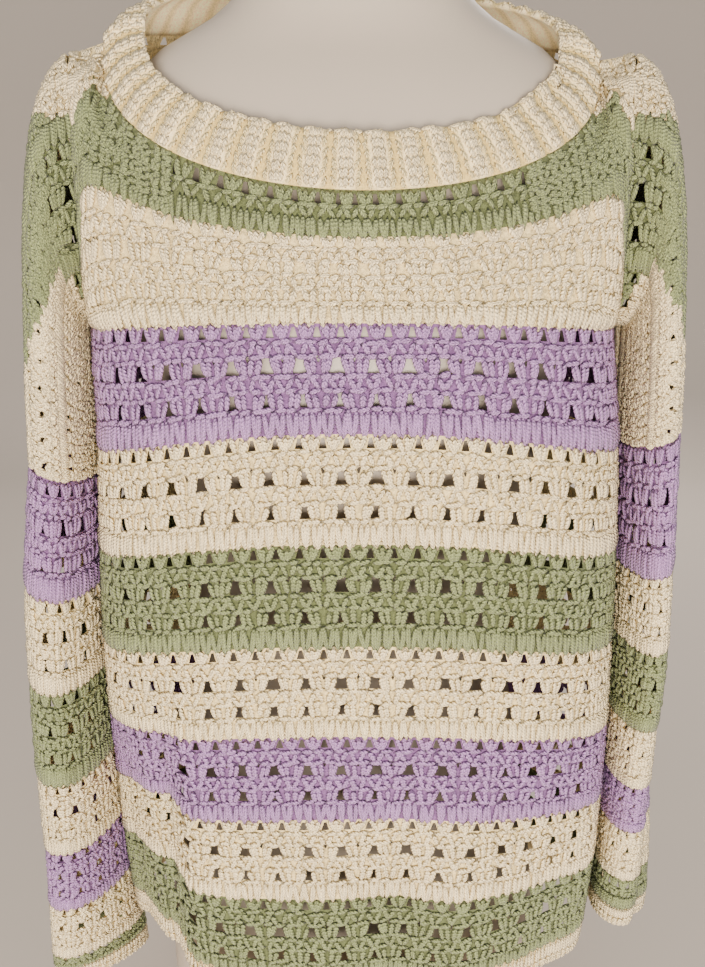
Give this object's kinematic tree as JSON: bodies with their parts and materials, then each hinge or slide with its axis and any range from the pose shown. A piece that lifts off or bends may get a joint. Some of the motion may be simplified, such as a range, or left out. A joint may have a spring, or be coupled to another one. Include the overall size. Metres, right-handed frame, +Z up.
{
  "type": "sweater on a dress form",
  "caption": "Wide-necked striped openwork crochet sweater with dropped shoulders and long tube sleeves, worn on a smooth limbless dress form that stands on its flat foot.",
  "frame": {"origin": "centre of the dress form's flat foot, which is the object's lowest face", "axes": "+Z up along the form, -Y out of the sweater's front, +X towards the right sleeve as seen from the front"},
  "size_m": [0.5117, 0.257, 0.96],
  "materials": {
    "cream_yarn": "crocheted plied acrylic yarn, matt with a faint sheen",
    "green_yarn": "crocheted plied acrylic yarn, matt with a faint sheen",
    "lilac_yarn": "crocheted plied acrylic yarn, matt with a faint sheen",
    "form_white": "smooth satin moulded shell"
  },
  "bodies": {
    "root": {"front_panel": "green_yarn", "back_panel": "cream_yarn", "sleeve_left": "lilac_yarn", "sleeve_right": "lilac_yarn", "cuff_left": "cream_yarn", "cuff_right": "cream_yarn", "neckband": "cream_yarn", "hem_band": "cream_yarn", "dress_form": "form_white"}
  },
  "joints": []
}
